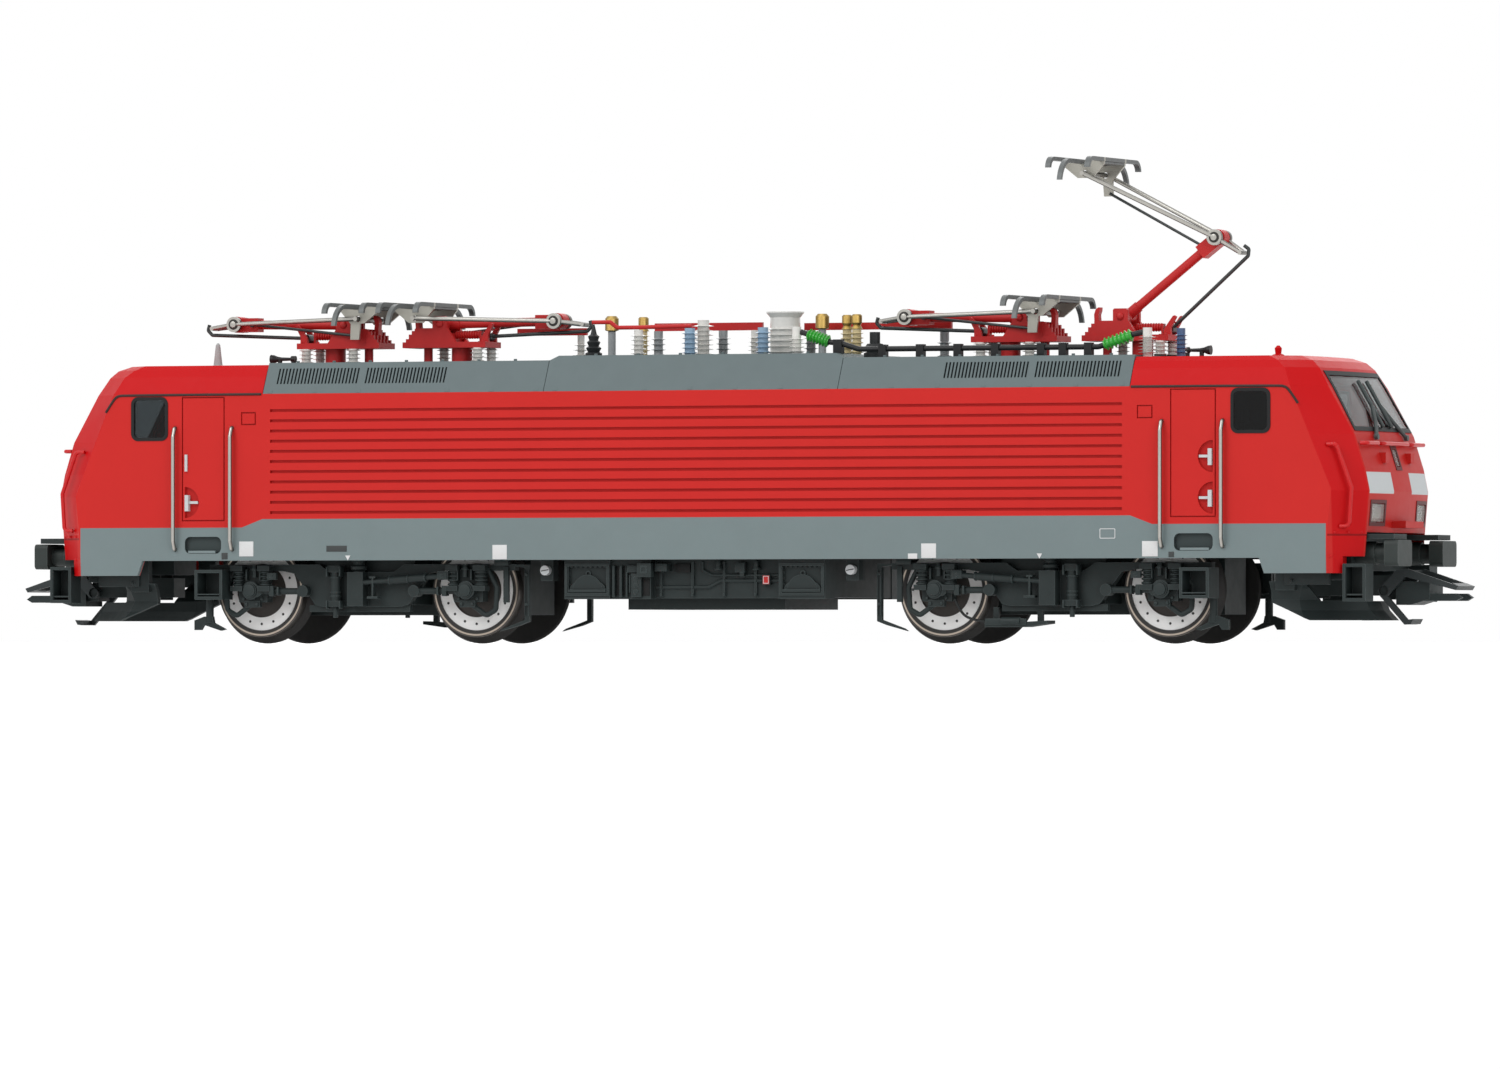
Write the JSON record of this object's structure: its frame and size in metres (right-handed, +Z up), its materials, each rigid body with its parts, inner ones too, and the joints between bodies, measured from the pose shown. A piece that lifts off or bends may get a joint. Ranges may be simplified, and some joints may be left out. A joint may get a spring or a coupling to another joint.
{
  "type": "electric locomotive scale model",
  "caption": "Scale model of a modern four-axle electric locomotive with two cabs, roof current collectors, swivelling bogies and model couplers, in red with a grey lower band.",
  "frame": {"origin": "under the middle of the locomotive, at the lowest point of the wheel flanges", "axes": "+X along the track towards cab 1, +Y across the track, +Z up"},
  "size_m": [0.2378, 0.037, 0.0734],
  "materials": {
    "body_red": "satin",
    "roof_grey": "satin",
    "glazing": "clear",
    "lamp_glass": "clear",
    "cab_grey": "matte",
    "rail_wire": "satin",
    "handle_white": "satin",
    "wiper_black": "satin",
    "frame_grey": "matte",
    "motor_metal": "matte",
    "equipment_grey": "matte",
    "cap_white": "satin",
    "plough_grey": "matte",
    "buffer_grey": "satin",
    "bogie_grey": "matte",
    "wheel_metal": "bright rim, white disc",
    "coupler_black": "matte",
    "hoop_metal": "satin",
    "linkage_red": "satin",
    "arm_silver": "satin",
    "strip_metal": "satin",
    "rod_dark": "satin",
    "insulator_white": "glazed",
    "insulator_grey": "glazed",
    "insulator_blue": "glazed",
    "insulator_cream": "glazed",
    "brass": "satin",
    "fitting_black": "satin",
    "antenna_grey": "satin",
    "cable_black": "satin",
    "sleeve_green": "glazed",
    "step_grey": "matte"
  },
  "bodies": {
    "bogie_1": {"bogie_1": "bogie_grey"},
    "bogie_2": {"bogie_2": "bogie_grey"},
    "wheelset_1": {"wheelset_1": "wheel_metal"},
    "wheelset_2": {"wheelset_2": "wheel_metal"},
    "wheelset_3": {"wheelset_3": "wheel_metal"},
    "wheelset_4": {"wheelset_4": "wheel_metal"},
    "coupler_1": {"coupler_1_shaft": "coupler_black"},
    "hoop_1": {"coupler_1_hoop": "hoop_metal"},
    "coupler_2": {"coupler_2_shaft": "coupler_black"},
    "hoop_2": {"coupler_2_hoop": "hoop_metal"},
    "p1_lower_arm": {"pantograph_1_lower_arm": "linkage_red"},
    "p1_upper_arm": {"pantograph_1_upper_arm": "arm_silver"},
    "p1_head": {"pantograph_1_head": "strip_metal"},
    "p1_thrust_rod": {"pantograph_1_thrust_rod": "rod_dark"},
    "p1_guide_rod": {"pantograph_1_guide_rod": "rod_dark"},
    "p2_lower_arm": {"pantograph_2_lower_arm": "linkage_red"},
    "p2_upper_arm": {"pantograph_2_upper_arm": "arm_silver"},
    "p2_head": {"pantograph_2_head": "strip_metal"},
    "p2_thrust_rod": {"pantograph_2_thrust_rod": "rod_dark"},
    "p2_guide_rod": {"pantograph_2_guide_rod": "rod_dark"},
    "p3_lower_arm": {"pantograph_3_lower_arm": "linkage_red"},
    "p3_upper_arm": {"pantograph_3_upper_arm": "arm_silver"},
    "p3_head": {"pantograph_3_head": "strip_metal"},
    "p3_thrust_rod": {"pantograph_3_thrust_rod": "rod_dark"},
    "p3_guide_rod": {"pantograph_3_guide_rod": "rod_dark"},
    "p4_lower_arm": {"pantograph_4_lower_arm": "linkage_red"},
    "p4_upper_arm": {"pantograph_4_upper_arm": "arm_silver"},
    "p4_head": {"pantograph_4_head": "strip_metal"},
    "p4_thrust_rod": {"pantograph_4_thrust_rod": "rod_dark"},
    "p4_guide_rod": {"pantograph_4_guide_rod": "rod_dark"},
    "locomotive": {"antennas": "antenna_grey", "body_shell": "body_red", "brass_contacts": "brass", "buffers": "buffer_grey", "busbars": "linkage_red", "cab_glazing": "glazing", "cab_interiors": "cab_grey", "cable_sleeves": "sleeve_green", "chassis": "frame_grey", "door_handles": "handle_white", "door_handrails": "rail_wire", "end_steps": "step_grey", "front_handrails": "body_red", "head_lamps": "lamp_glass", "insulators_blue": "insulator_blue", "insulators_cream": "insulator_cream", "insulators_grey": "insulator_grey", "insulators_white": "insulator_white", "motor_block": "motor_metal", "pantograph_bases": "linkage_red", "roof_black_fittings": "fitting_black", "roof_cable": "cable_black", "roof_hatch_1": "roof_grey", "roof_hatch_2": "roof_grey", "roof_hatch_middle": "roof_grey", "snow_ploughs": "plough_grey", "underfloor_caps": "cap_white", "underfloor_equipment": "equipment_grey", "windscreen_wipers": "wiper_black"}
  },
  "joints": [
    {"name": "bogie_1_pivot", "type": "hinge", "parent": "locomotive", "child": "bogie_1", "pos_m": [0.0569, 0, 0.013], "axis": [0, 0, 1], "range_deg": [-6, 6]},
    {"name": "bogie_2_pivot", "type": "hinge", "parent": "locomotive", "child": "bogie_2", "pos_m": [-0.0569, 0, 0.013], "axis": [0, 0, 1], "range_deg": [-6, 6]},
    {"name": "wheelset_1_axle", "type": "hinge", "parent": "bogie_1", "child": "wheelset_1", "pos_m": [0.0751, 0, 0.0082], "axis": [0, 1, 0], "continuous": true},
    {"name": "wheelset_2_axle", "type": "hinge", "parent": "bogie_1", "child": "wheelset_2", "pos_m": [0.0387, 0, 0.0082], "axis": [0, 1, 0], "continuous": true},
    {"name": "wheelset_3_axle", "type": "hinge", "parent": "bogie_2", "child": "wheelset_3", "pos_m": [-0.0387, 0, 0.0082], "axis": [0, 1, 0], "continuous": true},
    {"name": "wheelset_4_axle", "type": "hinge", "parent": "bogie_2", "child": "wheelset_4", "pos_m": [-0.0751, 0, 0.0082], "axis": [0, 1, 0], "continuous": true},
    {"name": "coupler_1_swing", "type": "hinge", "parent": "locomotive", "child": "coupler_1", "pos_m": [0.096, 0, 0.0087], "axis": [0, 0, 1], "range_deg": [-10, 10]},
    {"name": "hoop_1_lift", "type": "hinge", "parent": "coupler_1", "child": "hoop_1", "pos_m": [0.1069, 0, 0.00795], "axis": [0, -1, 0], "range_deg": [0, 25]},
    {"name": "coupler_2_swing", "type": "hinge", "parent": "locomotive", "child": "coupler_2", "pos_m": [-0.096, 0, 0.0087], "axis": [0, 0, 1], "range_deg": [-10, 10]},
    {"name": "hoop_2_lift", "type": "hinge", "parent": "coupler_2", "child": "hoop_2", "pos_m": [-0.1069, 0, 0.00795], "axis": [0, 1, 0], "range_deg": [0, 25]},
    {"name": "p1_raise", "type": "hinge", "parent": "locomotive", "child": "p1_lower_arm", "pos_m": [-0.0644, 0, 0.0494], "axis": [0, 1, 0], "range_deg": [0, 37.4]},
    {"name": "p1_upper_arm_turn", "type": "hinge", "parent": "p1_lower_arm", "child": "p1_upper_arm", "pos_m": [-0.0834, 0, 0.04967], "axis": [0, 1, 0], "range_deg": [-62.08, 0]},
    {"name": "p1_head_turn", "type": "hinge", "parent": "p1_upper_arm", "child": "p1_head", "pos_m": [-0.06111, 0, 0.05025], "axis": [0, 1, 0], "range_deg": [0, 24.68]},
    {"name": "p1_thrust_rod_turn", "type": "hinge", "parent": "locomotive", "child": "p1_thrust_rod", "pos_m": [-0.07163, 0, 0.0474], "axis": [0, 1, 0], "range_deg": [0, 39.23]},
    {"name": "p1_guide_rod_turn", "type": "hinge", "parent": "p1_lower_arm", "child": "p1_guide_rod", "pos_m": [-0.0806, 0, 0.04963], "axis": [0, 1, 0], "range_deg": [-70.91, 0]},
    {"name": "p2_raise", "type": "hinge", "parent": "locomotive", "child": "p2_lower_arm", "pos_m": [-0.0481, 0, 0.0494], "axis": [0, -1, 0], "range_deg": [0, 33]},
    {"name": "p2_upper_arm_turn", "type": "hinge", "parent": "p2_lower_arm", "child": "p2_upper_arm", "pos_m": [-0.0291, 0, 0.04967], "axis": [0, -1, 0], "range_deg": [-62.7, 0]},
    {"name": "p2_head_turn", "type": "hinge", "parent": "p2_upper_arm", "child": "p2_head", "pos_m": [-0.05139, 0, 0.05025], "axis": [0, -1, 0], "range_deg": [0, 29.7]},
    {"name": "p2_thrust_rod_turn", "type": "hinge", "parent": "locomotive", "child": "p2_thrust_rod", "pos_m": [-0.04087, 0, 0.0474], "axis": [0, -1, 0], "range_deg": [0, 33.69]},
    {"name": "p2_guide_rod_turn", "type": "hinge", "parent": "p2_lower_arm", "child": "p2_guide_rod", "pos_m": [-0.0319, 0, 0.04963], "axis": [0, -1, 0], "range_deg": [-72.04, 0]},
    {"name": "p3_raise", "type": "hinge", "parent": "locomotive", "child": "p3_lower_arm", "pos_m": [0.0481, 0, 0.0494], "axis": [0, 1, 0], "range_deg": [0, 33]},
    {"name": "p3_upper_arm_turn", "type": "hinge", "parent": "p3_lower_arm", "child": "p3_upper_arm", "pos_m": [0.0291, 0, 0.04967], "axis": [0, 1, 0], "range_deg": [-62.7, 0]},
    {"name": "p3_head_turn", "type": "hinge", "parent": "p3_upper_arm", "child": "p3_head", "pos_m": [0.05139, 0, 0.05025], "axis": [0, 1, 0], "range_deg": [0, 29.7]},
    {"name": "p3_thrust_rod_turn", "type": "hinge", "parent": "locomotive", "child": "p3_thrust_rod", "pos_m": [0.04087, 0, 0.0474], "axis": [0, 1, 0], "range_deg": [0, 33.69]},
    {"name": "p3_guide_rod_turn", "type": "hinge", "parent": "p3_lower_arm", "child": "p3_guide_rod", "pos_m": [0.0319, 0, 0.04963], "axis": [0, 1, 0], "range_deg": [-72.04, 0]},
    {"name": "p4_raise", "type": "hinge", "parent": "locomotive", "child": "p4_lower_arm", "pos_m": [0.0644, 0, 0.0494], "axis": [0, -1, 0], "range_deg": [-37.4, 0]},
    {"name": "p4_upper_arm_turn", "type": "hinge", "parent": "p4_lower_arm", "child": "p4_upper_arm", "pos_m": [0.07933, 0, 0.06115], "axis": [0, -1, 0], "range_deg": [0, 62.08]},
    {"name": "p4_head_turn", "type": "hinge", "parent": "p4_upper_arm", "child": "p4_head", "pos_m": [0.05932, 0, 0.07099], "axis": [0, -1, 0], "range_deg": [-24.68, 0]},
    {"name": "p4_thrust_rod_turn", "type": "hinge", "parent": "locomotive", "child": "p4_thrust_rod", "pos_m": [0.07163, 0, 0.0474], "axis": [0, -1, 0], "range_deg": [-39.23, 0]},
    {"name": "p4_guide_rod_turn", "type": "hinge", "parent": "p4_lower_arm", "child": "p4_guide_rod", "pos_m": [0.07713, 0, 0.05942], "axis": [0, -1, 0], "range_deg": [0, 70.91]}
  ],
  "couplings": [
    {"joint": "p1_upper_arm_turn", "follows": "p1_raise", "ratio": -1.66},
    {"joint": "p1_head_turn", "follows": "p1_raise", "ratio": 0.66},
    {"joint": "p1_thrust_rod_turn", "follows": "p1_raise", "ratio": 1.049},
    {"joint": "p1_guide_rod_turn", "follows": "p1_raise", "ratio": -1.896},
    {"joint": "p2_upper_arm_turn", "follows": "p2_raise", "ratio": -1.9},
    {"joint": "p2_head_turn", "follows": "p2_raise", "ratio": 0.9},
    {"joint": "p2_thrust_rod_turn", "follows": "p2_raise", "ratio": 1.021},
    {"joint": "p2_guide_rod_turn", "follows": "p2_raise", "ratio": -2.183},
    {"joint": "p3_upper_arm_turn", "follows": "p3_raise", "ratio": -1.9},
    {"joint": "p3_head_turn", "follows": "p3_raise", "ratio": 0.9},
    {"joint": "p3_thrust_rod_turn", "follows": "p3_raise", "ratio": 1.021},
    {"joint": "p3_guide_rod_turn", "follows": "p3_raise", "ratio": -2.183},
    {"joint": "p4_upper_arm_turn", "follows": "p4_raise", "ratio": -1.66},
    {"joint": "p4_head_turn", "follows": "p4_raise", "ratio": 0.66},
    {"joint": "p4_thrust_rod_turn", "follows": "p4_raise", "ratio": 1.049},
    {"joint": "p4_guide_rod_turn", "follows": "p4_raise", "ratio": -1.896}
  ]
}
